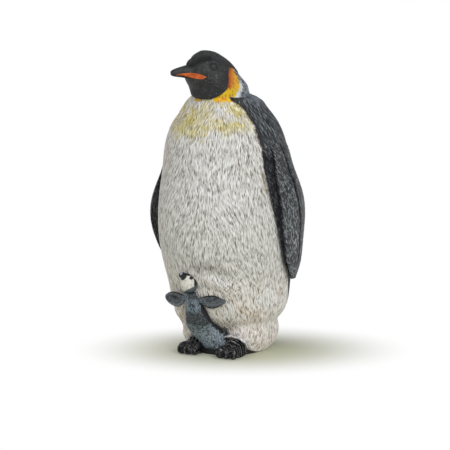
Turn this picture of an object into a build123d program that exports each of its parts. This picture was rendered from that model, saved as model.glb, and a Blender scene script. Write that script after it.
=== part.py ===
"""Standing penguin figurine with a chick between its feet.

Moulded plastic pieces, glued together on pegs: a hollow body in two half shells, a head on a
spigot, two flippers, two feet set into a sole plate, and a chick of four pieces.
Millimetres, +Z up, the bird faces -Y, its left side is +X. The origin is on the ground, under the
body's axis.
"""

from build123d import *
import math
import os

# Fits shared by every joint
GLUE_GAP = 0.1
PEG_PLAY = 0.08
CUT_OVERRUN = 5.0

# Body
BODY_HEIGHT = 75.5
BODY_HALF_WIDTH = 20.0
BELLY_REACH = 21.5
BACK_REACH = 17.5
NECK_LEAN = 3.2
WALL = 2.2

# Each row: height, half width, belly reach, back reach, forward lean of the section
BODY_SECTION_SHARES = (
    (0.085, 0.580, 0.430, 0.600, -0.50),
    (0.119, 0.705, 0.560, 0.720, -0.56),
    (0.140, 0.805, 0.645, 0.815, -0.59),
    (0.167, 0.855, 0.705, 0.862, -0.62),
    (0.253, 0.910, 0.846, 0.880, -0.69),
    (0.360, 0.965, 0.945, 0.950, -0.31),
    (0.480, 0.995, 0.991, 1.000, 0.00),
    (0.600, 0.985, 0.972, 0.994, 0.00),
    (0.720, 0.940, 0.884, 0.983, 0.00),
    (0.813, 0.890, 0.800, 0.926, 0.22),
    (0.887, 0.780, 0.688, 0.823, 0.50),
    (0.944, 0.655, 0.540, 0.697, 0.75),
    (0.980, 0.530, 0.428, 0.594, 0.90),
    (1.000, 0.428, 0.376, 0.492, 1.00),
)
CAVITY_FLOOR_SHARE = 0.167
CAVITY_TOP_SHARE = 0.887

# Pegs that line up the two half shells
SHELL_PEG_RADIUS = 1.2
SHELL_PEG_LENGTH = 3.0
NECK_PEG_OFFSET = 8.2
NECK_PEG_HEIGHT_SHARE = 0.915
ANKLE_PEG_OUTSET = 2.2
ANKLE_PEG_HEIGHT = 7.4

# Feathered ankles, one each side, that the body stands on
ANKLE_OFFSET = 7.4
ANKLE_SETBACK = 2.0
ANKLE_HALF_WIDTH = 7.4
ANKLE_HALF_DEPTH = 10.0
ANKLE_HEIGHT = 14.3
ANKLE_GROUND_GAP = 0.2
ANKLE_SECTION_SHARES = ((0.00, 0.74), (0.10, 0.86), (0.24, 0.97), (0.40, 1.00), (0.62, 0.88), (1.00, 0.50))

# Tail
TAIL_ROOT_HEIGHT = 20.0
TAIL_TIP_HEIGHT = 0.5
TAIL_ROOT_SUNK = 3.6
TAIL_SLANT = 4.6
TAIL_HALF_WIDTH = 7.6
TAIL_HALF_THICKNESS = 2.4
TAIL_ROOT_DEPTH = 8.0
# Each row: way from root to tip, half width, half thickness
TAIL_SECTION_SHARES = ((0.00, 0.90, 1.00), (0.35, 1.00, 0.98), (0.70, 0.82, 0.80), (1.00, 0.50, 0.45))

# Sole plate
SOLE_THICKNESS = 1.4
SOLE_INSET = 1.4
SOLE_FRONT_REACH = 10.8
SOLE_PEG_RADIUS = 1.2
SOLE_PEG_LENGTH = 3.0
SOLE_PEG_SETBACK = 3.0

# Head, turned towards the bird's right
HEAD_HEIGHT = 13.0
HEAD_HALF_LENGTH = 9.0
HEAD_HALF_WIDTH = 7.6
HEAD_REACH = 5.6
HEAD_TURN_ANGLE = 30.0
# Each row: height, length ahead, length behind, half width, forward reach of the section
HEAD_SECTION_SHARES = (
    (0.00, 0.96, 1.04, 0.98, 0.10),
    (0.14, 1.00, 1.01, 1.01, 0.20),
    (0.28, 0.99, 0.99, 1.00, 0.37),
    (0.40, 0.95, 0.95, 0.96, 0.57),
    (0.52, 0.88, 0.88, 0.91, 0.69),
    (0.65, 0.79, 0.79, 0.83, 0.79),
    (0.78, 0.66, 0.66, 0.70, 0.91),
    (0.90, 0.45, 0.45, 0.48, 0.98),
    (0.97, 0.25, 0.25, 0.27, 1.00),
)
NECK_SPIGOT_RADIUS = 3.6
NECK_SPIGOT_LENGTH = 5.0

# Bill
BILL_LENGTH = 5.9
BILL_ROOT_DEPTH = 5.0
BILL_HALF_WIDTH = 2.1
BILL_HALF_HEIGHT = 2.2
BILL_DROOP = 0.1
BILL_HEIGHT_SHARE = 0.565
# Each row: way from root to tip, half width, half height, droop
BILL_SECTION_SHARES = (
    (0.00, 1.00, 1.00, 0.00),
    (0.45, 0.95, 1.00, 0.00),
    (0.70, 0.64, 0.69, 0.00),
    (0.88, 0.46, 0.52, 0.40),
    (1.00, 0.26, 0.30, 1.00),
)

# Eyes
EYE_RADIUS = 1.1
EYE_SUNK = 0.75
EYE_HEIGHT_SHARE = 0.68
EYE_FORWARD_SHARE = 0.30

# Flippers
SHOULDER_HEIGHT_SHARE = 0.848
FLIPPER_LENGTH = 43.5
FLIPPER_CHORD = 16.3
FLIPPER_THICKNESS = 2.9
FLIPPER_PEG_RADIUS = 1.5
FLIPPER_PEG_DROP_SHARE = 0.19
# Each row: way from shoulder to tip, front edge and rear edge in chords behind the body's axis,
# lift of the front edge and of the rear edge off the flank in thicknesses, thickness
LEFT_FLIPPER_SHARES = (
    (0.000, -0.52, 0.21, -0.20, -0.15, 0.30),
    (0.160, -0.61, 0.34, 0.20, 0.28, 0.60),
    (0.287, -0.60, 0.40, 0.26, 0.70, 0.85),
    (0.437, -0.55, 0.43, 0.30, 1.20, 1.00),
    (0.600, -0.45, 0.44, 0.30, 1.15, 1.00),
    (0.760, -0.31, 0.44, 0.32, 0.95, 0.85),
    (0.885, -0.13, 0.41, 0.36, 0.80, 0.65),
    (1.000, 0.13, 0.31, 0.42, 0.60, 0.35),
)
RIGHT_FLIPPER_SHARES = (
    (0.000, -0.08, 0.48, -0.20, -0.15, 0.30),
    (0.160, -0.31, 0.57, 0.05, 0.15, 0.60),
    (0.287, -0.37, 0.60, 0.20, 0.42, 0.85),
    (0.437, -0.40, 0.57, 0.75, 1.05, 1.00),
    (0.600, -0.32, 0.53, 1.10, 1.40, 1.00),
    (0.760, -0.16, 0.50, 0.95, 1.25, 0.85),
    (0.885, 0.02, 0.45, 0.70, 1.00, 0.65),
    (1.000, 0.16, 0.33, 0.42, 0.60, 0.35),
)

# Feet
FOOT_OFFSET = 6.2
HEEL_REACH = 3.5
INSTEP_LENGTH = 8.0
FOOT_HALF_WIDTH = 3.3
FOOT_HEIGHT = 4.6
# Each row: way from heel to toe roots, half width, height
INSTEP_SECTION_SHARES = ((0.0, 0.72, 0.62), (0.4, 0.95, 0.96), (0.75, 1.0, 1.0), (1.0, 0.92, 0.80))
FOOT_PEG_RADIUS = 1.2
FOOT_PEG_LENGTH = 4.0
FOOT_PEG_INSET = 1.6

# Toes and claws
TOE_COUNT = 3
TOE_SPREAD_ANGLE = 5.0
TOE_LENGTH = 4.5
TOE_HALF_WIDTH = 1.4
TOE_HALF_HEIGHT = 1.85
TOE_CENTRE_HEIGHT = 1.7
# Each row: way from toe root to toe tip, size
TOE_SECTION_SHARES = ((0.0, 0.90), (0.45, 1.0), (0.8, 0.90), (1.0, 0.58))
CLAW_LENGTH = 0.8
CLAW_SUNK = 0.8
CLAW_RADIUS = 0.7
CLAW_TIP_RADIUS = 0.25

# Chick's body
CHICK_BODY_HEIGHT = 18.1
CHICK_HALF_WIDTH = 4.7
CHICK_HALF_DEPTH = 3.6
CHICK_BASE_OFFSET = 0.5
CHICK_LEAN = -4.5
CHICK_STAND_OFF = 0.8
# Each row: height, half width, half depth, sideways lean
CHICK_SECTION_SHARES = (
    (0.00, 0.86, 0.66, 0.00),
    (0.23, 1.00, 0.94, 0.44),
    (0.42, 0.90, 1.00, 0.69),
    (0.60, 0.73, 0.88, 0.78),
    (0.76, 0.60, 0.72, 0.85),
    (0.90, 0.44, 0.56, 0.95),
    (1.00, 0.40, 0.52, 1.00),
)
CHICK_PEG_RADIUS = 1.0
CHICK_PEG_DROP = 2.6

# Chick's head
CHICK_HEAD_HALF_WIDTH = 2.7
CHICK_HEAD_HALF_DEPTH = 2.7
CHICK_HEAD_HALF_HEIGHT = 3.3
CHICK_HEAD_RISE_SHARE = 0.85
CHICK_NECK_PEG_RADIUS = 0.7
CHICK_NECK_PEG_LENGTH = 1.6
CHICK_BILL_LENGTH = 1.0
CHICK_BILL_LIFT = 0.6
CHICK_BILL_RADIUS = 1.5
CHICK_BILL_TIP_RADIUS = 0.85
CHICK_BILL_RISE_ANGLE = 35.0
CHICK_BILL_TURN_ANGLE = 30.0

# Chick's flippers, held out to the sides
CHICK_FLIPPER_LENGTH = 10.2
CHICK_FLIPPER_HALF_CHORD = 2.2
CHICK_FLIPPER_HALF_THICKNESS = 0.9
CHICK_FLIPPER_FORWARD = 0.7
CHICK_SHOULDER_HEIGHT_SHARE = 0.80
CHICK_LEFT_FLIPPER_RISE_ANGLE = 7.0
CHICK_RIGHT_FLIPPER_RISE_ANGLE = 4.0
CHICK_LEFT_FLIPPER_SWEEP_ANGLE = 8.0
CHICK_RIGHT_FLIPPER_SWEEP_ANGLE = 14.0
# Each row: way from the chick's middle to the tip, half chord, half thickness
CHICK_FLIPPER_SHARES = (
    (0.00, 0.50, 0.90),
    (0.35, 0.80, 1.00),
    (0.65, 1.00, 0.90),
    (0.88, 0.72, 0.70),
    (1.00, 0.28, 0.40),
)
CHICK_FLIPPER_PEG_RADIUS = 0.5
CHICK_FLIPPER_PEG_START_SHARE = 0.10
CHICK_FLIPPER_PEG_END_SHARE = 0.45


def oval(plane, half_width, front, back):
    """A closed oval: two half ellipses of one width, each with its own depth."""
    front_half = EllipticalCenterArc((0, 0), half_width, front, 180, arc_size=180)
    back_half = EllipticalCenterArc((0, 0), half_width, back, 0, arc_size=180)
    return plane * make_face([front_half, back_half])


def level(x, y, z):
    """A level plane at a point."""
    return Plane(origin=(x, y, z))


def across(x, y, z):
    """An upright plane square to the bird's forward direction, its own Y up."""
    return Plane(origin=(x, y, z), x_dir=(1, 0, 0), z_dir=(0, -1, 0))


def mirrored(shape):
    """The same piece on the bird's other side."""
    return mirror(shape, about=Plane.YZ)


def rod(start, direction, radius, length):
    """A round rod from a point, along a direction."""
    base = Plane(origin=start, z_dir=direction)
    return base * Cylinder(radius, length, align=(Align.CENTER, Align.CENTER, Align.MIN))


def table_share(rows, way, column):
    """One column of a table at any way along its first column, by straight lines between the rows."""
    for lower, upper in zip(rows, rows[1:]):
        if way <= upper[0]:
            part = max(0, (way - lower[0]) / (upper[0] - lower[0]))
            return lower[column] + part * (upper[column] - lower[column])
    return rows[-1][column]


def body_share(height_share, column):
    """One column of the body's sections at any height."""
    return table_share(BODY_SECTION_SHARES, height_share, column)


def flank(height):
    """Half width of the body at a height."""
    return BODY_HALF_WIDTH * body_share(height / BODY_HEIGHT, 1)


def belly_front(height):
    """Y of the front of the belly at a height."""
    share = height / BODY_HEIGHT
    return -NECK_LEAN * body_share(share, 4) - BELLY_REACH * body_share(share, 2)


def back_rear(height):
    """Y of the rear of the back at a height."""
    share = height / BODY_HEIGHT
    return BACK_REACH * body_share(share, 3) - NECK_LEAN * body_share(share, 4)


def body_loft(rows, grow):
    """The body's trunk through some of its sections, made larger or smaller all round."""
    sections = []
    for height, width, belly, back, lean in rows:
        plane = level(0, -lean * NECK_LEAN, height * BODY_HEIGHT)
        sections.append(
            oval(plane, width * BODY_HALF_WIDTH + grow, belly * BELLY_REACH + grow, back * BACK_REACH + grow)
        )
    return loft(sections)


def ankle(grow):
    """The feathered ankle on the left side."""
    sections = []
    for height, size in ANKLE_SECTION_SHARES:
        plane = level(ANKLE_OFFSET, ANKLE_SETBACK, ANKLE_GROUND_GAP + height * ANKLE_HEIGHT)
        half_depth = size * ANKLE_HALF_DEPTH + grow
        sections.append(oval(plane, size * ANKLE_HALF_WIDTH + grow, half_depth, half_depth))
    return loft(sections)


def tail():
    """The short wedge of tail feathers, grown out of the back down to the ground."""
    sections = []
    for way, width, thickness in TAIL_SECTION_SHARES:
        height = TAIL_ROOT_HEIGHT + way * (TAIL_TIP_HEIGHT - TAIL_ROOT_HEIGHT)
        reach = back_rear(TAIL_ROOT_HEIGHT) - TAIL_ROOT_SUNK + way * TAIL_SLANT
        half_thickness = thickness * TAIL_HALF_THICKNESS
        plane = level(0, reach, height)
        sections.append(oval(plane, width * TAIL_HALF_WIDTH, TAIL_ROOT_DEPTH, half_thickness))
    return loft(sections)


def body_form(grow):
    """The outside of the body with both ankles, made larger all round."""
    return body_loft(BODY_SECTION_SHARES, grow) + ankle(grow) + mirrored(ankle(grow))


def parting_plane():
    """The plane between the half shells: over the body's axis at the ground, through the neck's centre."""
    return Plane(origin=(0, 0, 0), x_dir=(1, 0, 0), z_dir=(0, BODY_HEIGHT, NECK_LEAN))


def parting_y(height):
    """Y of the parting plane at a height."""
    return -NECK_LEAN * height / BODY_HEIGHT


def shell_pegs(radius, length):
    """Four rods from inside the belly shell into the back shell, at the neck and the ankles."""
    neck_height = NECK_PEG_HEIGHT_SHARE * BODY_HEIGHT
    places = ((NECK_PEG_OFFSET, neck_height), (ANKLE_OFFSET + ANKLE_PEG_OUTSET, ANKLE_PEG_HEIGHT))
    pegs = []
    for offset, height in places:
        for side in (-1, 1):
            start = (side * offset, parting_y(height) - SHELL_PEG_LENGTH, height)
            pegs.append(rod(start, (0, 1, 0), radius, SHELL_PEG_LENGTH + length))
    return Part() + pegs


def neck_spigot(radius, length):
    """The rod under the head that sits in the neck."""
    return rod((0, -NECK_LEAN, BODY_HEIGHT + GLUE_GAP), (0, 0, -1), radius, length)


def head():
    """Hood, bill and eyes, with the spigot that plugs into the neck."""
    sections = []
    for height, ahead, behind, width, reach in HEAD_SECTION_SHARES:
        plane = level(0, -reach * HEAD_REACH, height * HEAD_HEIGHT)
        half_width = width * HEAD_HALF_WIDTH
        sections.append(oval(plane, half_width, ahead * HEAD_HALF_LENGTH, behind * HEAD_HALF_LENGTH))
    crown = Vertex(0, -HEAD_REACH, HEAD_HEIGHT)
    hood = loft([*sections, crown])
    solid = hood + bill() + eyes()
    place = Pos(0, -NECK_LEAN, BODY_HEIGHT + GLUE_GAP) * Rot(0, 0, -HEAD_TURN_ANGLE)
    return place * solid + neck_spigot(NECK_SPIGOT_RADIUS, NECK_SPIGOT_LENGTH)


def head_share(height_share, column):
    """One column of the head's sections at any height."""
    return table_share(HEAD_SECTION_SHARES, height_share, column)


def bill():
    """The bill, from inside the forehead to its drooping tip."""
    reach = HEAD_REACH * head_share(BILL_HEIGHT_SHARE, 4)
    half_length = HEAD_HALF_LENGTH * head_share(BILL_HEIGHT_SHARE, 1)
    root = reach + half_length - BILL_ROOT_DEPTH
    length = BILL_ROOT_DEPTH + BILL_LENGTH
    height = BILL_HEIGHT_SHARE * HEAD_HEIGHT
    sections = []
    for way, width, half_height, droop in BILL_SECTION_SHARES:
        plane = across(0, -(root + way * length), height - droop * BILL_DROOP)
        rise = half_height * BILL_HALF_HEIGHT
        sections.append(oval(plane, width * BILL_HALF_WIDTH, rise, rise))
    return loft(sections)


def eyes():
    """A low dome on each side of the head."""
    half_length = HEAD_HALF_LENGTH * head_share(EYE_HEIGHT_SHARE, 1)
    half_width = HEAD_HALF_WIDTH * head_share(EYE_HEIGHT_SHARE, 3)
    forward = HEAD_REACH * head_share(EYE_HEIGHT_SHARE, 4) + EYE_FORWARD_SHARE * half_length
    side = half_width * math.sqrt(1 - EYE_FORWARD_SHARE**2)
    places = [Pos(s * (side - EYE_SUNK), -forward, EYE_HEIGHT_SHARE * HEAD_HEIGHT) for s in (-1, 1)]
    return Part() + [place * Sphere(EYE_RADIUS) for place in places]


def flank_point(height, behind, lift):
    """A point off the left flank, by its height, its way behind the body's axis and its lift."""
    share = height / BODY_HEIGHT
    behind_centre = behind + NECK_LEAN * body_share(share, 4)
    depth = BACK_REACH * body_share(share, 3) if behind_centre > 0 else BELLY_REACH * body_share(share, 2)
    side = (flank(height) + lift) * math.sqrt(1 - (behind_centre / (depth + lift)) ** 2)
    return Vector(side, behind, height)


def flipper_blade(rows):
    """A flipper's blade on the left flank: a lens at each height, its edges lifted off the flank."""
    sections = []
    for way, front, rear, front_lift, rear_lift, thickness in rows:
        height = SHOULDER_HEIGHT_SHARE * BODY_HEIGHT - way * FLIPPER_LENGTH
        front_edge = flank_point(height, front * FLIPPER_CHORD, front_lift * FLIPPER_THICKNESS)
        rear_edge = flank_point(height, rear * FLIPPER_CHORD, rear_lift * FLIPPER_THICKNESS)
        middle = (front + rear) / 2 * FLIPPER_CHORD
        lift = (front_lift + rear_lift) / 2 * FLIPPER_THICKNESS
        half = thickness * FLIPPER_THICKNESS / 2
        outer = ThreePointArc(front_edge, flank_point(height, middle, lift + half), rear_edge)
        inner = ThreePointArc(rear_edge, flank_point(height, middle, lift - half), front_edge)
        sections.append(make_face([outer, inner]))
    return loft(sections)


def flipper_peg(rows, radius, length):
    """A flipper's peg, from inside its blade into the flank."""
    height = SHOULDER_HEIGHT_SHARE * BODY_HEIGHT - FLIPPER_PEG_DROP_SHARE * FLIPPER_LENGTH
    _, front, rear, lift, _, _ = rows[1]
    start = flank_point(height, (front + rear) / 2 * FLIPPER_CHORD, lift * FLIPPER_THICKNESS)
    return rod(start, (-1, 0, 0), radius, lift * FLIPPER_THICKNESS + length)


def flipper(rows, trunk_room):
    """A flipper, hollowed to lie on the flank."""
    return flipper_blade(rows) - trunk_room + flipper_peg(rows, FLIPPER_PEG_RADIUS, WALL)


def foot_form(grow):
    """The left foot: a domed instep, toes and claws, flat on the ground."""
    sections = []
    for way, width, height in INSTEP_SECTION_SHARES:
        plane = across(FOOT_OFFSET, -HEEL_REACH - way * INSTEP_LENGTH, 0)
        rise = height * FOOT_HEIGHT + grow
        sections.append(oval(plane, width * FOOT_HALF_WIDTH + grow, rise, rise))
    solid = loft(sections)
    for index in range(TOE_COUNT):
        solid += toe(index - (TOE_COUNT - 1) / 2, grow)
    return split(solid, bisect_by=Plane.XY, keep=Keep.TOP)


def toe(place, grow):
    """One toe and its claw, fanned out by its place from the middle toe."""
    turn = math.radians(place * TOE_SPREAD_ANGLE)
    forward = Vector(math.sin(turn), -math.cos(turn), 0)
    side = Vector(math.cos(turn), math.sin(turn), 0)
    root = Vector(FOOT_OFFSET, -HEEL_REACH - INSTEP_LENGTH, TOE_CENTRE_HEIGHT)
    root += side * (place * (FOOT_HALF_WIDTH - TOE_HALF_WIDTH)) - forward * TOE_HALF_WIDTH
    reach = TOE_HALF_WIDTH + TOE_LENGTH - CLAW_LENGTH
    sections = []
    for way, size in TOE_SECTION_SHARES:
        plane = Plane(origin=root + forward * (way * reach), x_dir=side, z_dir=forward)
        half_height = size * TOE_HALF_HEIGHT + grow
        sections.append(oval(plane, size * TOE_HALF_WIDTH + grow, half_height, half_height))
    claw_plane = Plane(origin=root + forward * (reach - CLAW_SUNK), x_dir=side, z_dir=forward)
    claw = Cone(
        CLAW_RADIUS + grow,
        CLAW_TIP_RADIUS + grow,
        CLAW_SUNK + CLAW_LENGTH + grow,
        align=(Align.CENTER, Align.CENTER, Align.MIN),
    )
    return loft(sections) + claw_plane * claw


def foot_peg(radius, length):
    """The left foot's peg, from inside the instep up into the ankle."""
    start = (FOOT_OFFSET, -HEEL_REACH - FOOT_PEG_INSET, FOOT_HEIGHT / 2)
    return rod(start, (0, 0, 1), radius, FOOT_HEIGHT / 2 + length)


def sole_pegs(radius, length):
    """Two pegs on the sole plate, one into each ankle."""
    pegs = []
    for side in (-1, 1):
        start = (side * ANKLE_OFFSET, ANKLE_SETBACK + SOLE_PEG_SETBACK, SOLE_THICKNESS / 2)
        pegs.append(rod(start, (0, 0, 1), radius, length))
    return Part() + pegs


def sole_form(grow):
    """The plate let into the underside of the ankles, made larger all round."""
    ankle_size = ANKLE_SECTION_SHARES[0][1]
    half_width = ANKLE_OFFSET + ankle_size * ANKLE_HALF_WIDTH - SOLE_INSET + grow
    back_reach = ANKLE_SETBACK + ankle_size * ANKLE_HALF_DEPTH - SOLE_INSET + grow
    outline = oval(level(0, 0, 0), half_width, SOLE_FRONT_REACH + grow, back_reach)
    return extrude(outline, SOLE_THICKNESS + grow)


def sole_plate(feet_room):
    """The sole plate, cut away round the feet, with its pegs."""
    return sole_form(0) - feet_room + sole_pegs(SOLE_PEG_RADIUS, SOLE_PEG_LENGTH)


def chick_axis(height_share):
    """Centre of the chick's body at a height, on the front of the belly."""
    height = SOLE_THICKNESS + GLUE_GAP + height_share * CHICK_BODY_HEIGHT
    lean = table_share(CHICK_SECTION_SHARES, height_share, 3)
    return Vector(CHICK_BASE_OFFSET + lean * CHICK_LEAN, belly_front(height) - CHICK_STAND_OFF, height)


def chick_torso(grow):
    """The chick's pear-shaped body, leaning sideways up the belly."""
    sections = []
    for height, width, depth, _ in CHICK_SECTION_SHARES:
        half_depth = depth * CHICK_HALF_DEPTH + grow
        plane = Plane(origin=chick_axis(height))
        sections.append(oval(plane, width * CHICK_HALF_WIDTH + grow, half_depth, half_depth))
    return loft(sections)


def chick_peg(radius, length):
    """The chick's peg, from inside its body back into the belly, under the floor of the hollow."""
    height = CAVITY_FLOOR_SHARE * BODY_HEIGHT - CHICK_PEG_DROP
    start = chick_axis((height - SOLE_THICKNESS - GLUE_GAP) / CHICK_BODY_HEIGHT)
    return rod(start, (0, 1, 0), radius, CHICK_STAND_OFF + length)


def chick_neck_peg(radius, length):
    """The peg under the chick's head."""
    return rod(chick_axis(1) + Vector(0, 0, GLUE_GAP), (0, 0, -1), radius, length)


def chick_head(trunk_room):
    """The chick's head and bill, cut level where it meets the neck."""
    neck = chick_axis(1) + Vector(0, 0, GLUE_GAP)
    centre = neck + Vector(0, 0, CHICK_HEAD_RISE_SHARE * CHICK_HEAD_HALF_HEIGHT)
    skull = scale(Sphere(1), by=(CHICK_HEAD_HALF_WIDTH, CHICK_HEAD_HALF_DEPTH, CHICK_HEAD_HALF_HEIGHT))
    turn = math.radians(CHICK_BILL_TURN_ANGLE)
    rise = math.radians(CHICK_BILL_RISE_ANGLE)
    forward = Vector(-math.sin(turn) * math.cos(rise), -math.cos(turn) * math.cos(rise), math.sin(rise))
    bill_cone = Cone(
        CHICK_BILL_RADIUS,
        CHICK_BILL_TIP_RADIUS,
        CHICK_HEAD_HALF_DEPTH + CHICK_BILL_LENGTH,
        align=(Align.CENTER, Align.CENTER, Align.MIN),
    )
    bill_plane = Plane(origin=centre + Vector(0, 0, CHICK_BILL_LIFT), z_dir=forward)
    whole = Pos(*centre) * skull + bill_plane * bill_cone
    whole = split(whole, bisect_by=Plane(origin=neck), keep=Keep.TOP)
    return whole - trunk_room + chick_neck_peg(CHICK_NECK_PEG_RADIUS, CHICK_NECK_PEG_LENGTH)


def chick_flipper_line(side, rise, sweep):
    """Start and direction of one of the chick's flippers."""
    up = math.radians(rise)
    back = math.radians(sweep)
    direction = Vector(side * math.cos(up) * math.cos(back), math.cos(up) * math.sin(back), math.sin(up))
    return chick_axis(CHICK_SHOULDER_HEIGHT_SHARE) - Vector(0, CHICK_FLIPPER_FORWARD, 0), direction


def chick_flipper_peg(line, radius, play):
    """The peg between the chick's body and one of its flippers."""
    start, direction = line
    first = CHICK_FLIPPER_PEG_START_SHARE * CHICK_FLIPPER_LENGTH - play
    last = CHICK_FLIPPER_PEG_END_SHARE * CHICK_FLIPPER_LENGTH
    return rod(start + direction * first, direction, radius + play, last - first)


def chick_flipper(line, torso_room, trunk_room):
    """One of the chick's flippers, held out from its shoulder."""
    start, direction = line
    sections = []
    for way, chord, thickness in CHICK_FLIPPER_SHARES:
        half_chord = chord * CHICK_FLIPPER_HALF_CHORD
        origin = start + direction * (way * CHICK_FLIPPER_LENGTH)
        plane = Plane(origin=origin, x_dir=(0, 1, 0), z_dir=direction)
        sections.append(oval(plane, thickness * CHICK_FLIPPER_HALF_THICKNESS, half_chord, half_chord))
    blade = loft(sections) - torso_room - trunk_room
    return blade + chick_flipper_peg(line, CHICK_FLIPPER_PEG_RADIUS, 0)


def body_shells(feet_room):
    """The hollow body with its sockets, cut into a belly shell with pegs and a back shell."""
    hollow_rows = [row for row in BODY_SECTION_SHARES if CAVITY_FLOOR_SHARE <= row[0] <= CAVITY_TOP_SHARE]
    cavity = body_loft(hollow_rows, -WALL)
    body = body_form(0) + tail() - cavity - feet_room - sole_form(GLUE_GAP)
    body -= neck_spigot(NECK_SPIGOT_RADIUS + PEG_PLAY, NECK_SPIGOT_LENGTH + PEG_PLAY)
    through = WALL + CUT_OVERRUN
    body -= flipper_peg(LEFT_FLIPPER_SHARES, FLIPPER_PEG_RADIUS + PEG_PLAY, through)
    body -= mirrored(flipper_peg(RIGHT_FLIPPER_SHARES, FLIPPER_PEG_RADIUS + PEG_PLAY, through))
    foot_socket = foot_peg(FOOT_PEG_RADIUS + PEG_PLAY, FOOT_PEG_LENGTH + PEG_PLAY)
    body = body - foot_socket - mirrored(foot_socket)
    body -= sole_pegs(SOLE_PEG_RADIUS + PEG_PLAY, SOLE_PEG_LENGTH + PEG_PLAY)
    body -= chick_peg(CHICK_PEG_RADIUS + PEG_PLAY, WALL + PEG_PLAY)
    belly = split(body, bisect_by=parting_plane(), keep=Keep.BOTTOM)
    back = split(body, bisect_by=parting_plane(), keep=Keep.TOP)
    belly += shell_pegs(SHELL_PEG_RADIUS, SHELL_PEG_LENGTH)
    back -= shell_pegs(SHELL_PEG_RADIUS + PEG_PLAY, SHELL_PEG_LENGTH + PEG_PLAY)
    return belly, back


def penguin():
    """Every piece by its name."""
    trunk_room = body_form(GLUE_GAP)
    foot_room = foot_form(GLUE_GAP)
    feet_room = foot_room + mirrored(foot_room)
    foot = foot_form(0) + foot_peg(FOOT_PEG_RADIUS, FOOT_PEG_LENGTH)
    belly, back = body_shells(feet_room)

    left_line = chick_flipper_line(1, CHICK_LEFT_FLIPPER_RISE_ANGLE, CHICK_LEFT_FLIPPER_SWEEP_ANGLE)
    right_line = chick_flipper_line(-1, CHICK_RIGHT_FLIPPER_RISE_ANGLE, CHICK_RIGHT_FLIPPER_SWEEP_ANGLE)
    torso_room = chick_torso(GLUE_GAP)
    chick = chick_torso(0) - trunk_room - feet_room + chick_peg(CHICK_PEG_RADIUS, WALL)
    chick -= chick_neck_peg(CHICK_NECK_PEG_RADIUS + PEG_PLAY, CHICK_NECK_PEG_LENGTH + PEG_PLAY)
    for line in (left_line, right_line):
        chick -= chick_flipper_peg(line, CHICK_FLIPPER_PEG_RADIUS, PEG_PLAY)

    return {
        "belly_shell": belly,
        "back_shell": back,
        "head": head(),
        "left_flipper": flipper(LEFT_FLIPPER_SHARES, trunk_room),
        "right_flipper": mirrored(flipper(RIGHT_FLIPPER_SHARES, trunk_room)),
        "left_foot": foot,
        "right_foot": mirrored(foot),
        "sole_plate": sole_plate(feet_room),
        "chick_body": chick,
        "chick_head": chick_head(trunk_room),
        "chick_left_flipper": chick_flipper(left_line, torso_room, trunk_room),
        "chick_right_flipper": chick_flipper(right_line, torso_room, trunk_room),
    }


def main():
    os.makedirs("parts", exist_ok=True)
    for name, piece in penguin().items():
        export_step(piece, f"parts/{name}.step")


main()
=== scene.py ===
"""Looks of the standing penguin figurine with its chick: moulded feather relief and hand painting.

Mesh work is in millimetres and is turned into metres when a piece is made.
The bird faces -Y and its left side is +X. Angles round the body run from the front to its left.
"""

import math

import bpy
import numpy as np
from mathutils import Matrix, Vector
from mathutils.bvhtree import BVHTree
from mathutils.kdtree import KDTree


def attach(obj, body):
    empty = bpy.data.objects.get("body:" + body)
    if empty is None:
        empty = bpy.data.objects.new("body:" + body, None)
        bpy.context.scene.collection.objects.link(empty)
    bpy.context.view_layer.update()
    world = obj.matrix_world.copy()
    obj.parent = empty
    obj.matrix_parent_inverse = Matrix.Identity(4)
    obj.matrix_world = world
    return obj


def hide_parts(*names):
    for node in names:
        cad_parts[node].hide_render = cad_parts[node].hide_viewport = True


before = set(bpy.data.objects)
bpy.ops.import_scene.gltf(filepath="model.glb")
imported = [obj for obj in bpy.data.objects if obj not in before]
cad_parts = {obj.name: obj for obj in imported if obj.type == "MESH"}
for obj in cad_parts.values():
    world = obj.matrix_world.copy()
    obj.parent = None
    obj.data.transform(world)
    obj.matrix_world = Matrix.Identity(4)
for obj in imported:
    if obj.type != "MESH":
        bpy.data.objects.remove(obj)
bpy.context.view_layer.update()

MM = 0.001
rng = np.random.default_rng(11)

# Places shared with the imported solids
NECK_HEIGHT = 75.5
NECK_LEAN = 3.2
HEAD_TURN = math.radians(30)
HEAD_BASE = np.array((0, -NECK_LEAN, NECK_HEIGHT + 0.1))

# The photograph's camera
CAMERA_AZIMUTH = math.radians(25)
CAMERA_ELEVATION = math.radians(11)
CAMERA_DISTANCE = 600.0
CAMERA_AIM = Vector((-0.5, -0.25, 36.6))
FRAME_WIDTH = 132.0
SENSOR_WIDTH = 36.0


# Mesh helpers

# Softening moves a point by these shares of the way to its neighbours' mean, in and out again
RELAX_STEPS = (0.5, -0.53)


def unit(vectors):
    """Vectors of length one."""
    return vectors / np.maximum(np.linalg.norm(vectors, axis=-1, keepdims=True), 1e-12)


def fade(start, end, value):
    """A soft change from 0 at the start to 1 at the end."""
    t = np.clip((value - start) / (end - start), 0, 1)
    return t * t * (3 - 2 * t)


def bump(value, width):
    """A soft round hill, 1 where the value is zero."""
    return np.exp(-((value / width) ** 2))


def rows_of(items, key, width, kind=float):
    """A value of a mesh's points, edges or triangles, as rows of this width."""
    flat = np.empty(len(items) * width, dtype=kind)
    items.foreach_get(key, flat)
    return flat.reshape(-1, width)


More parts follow.
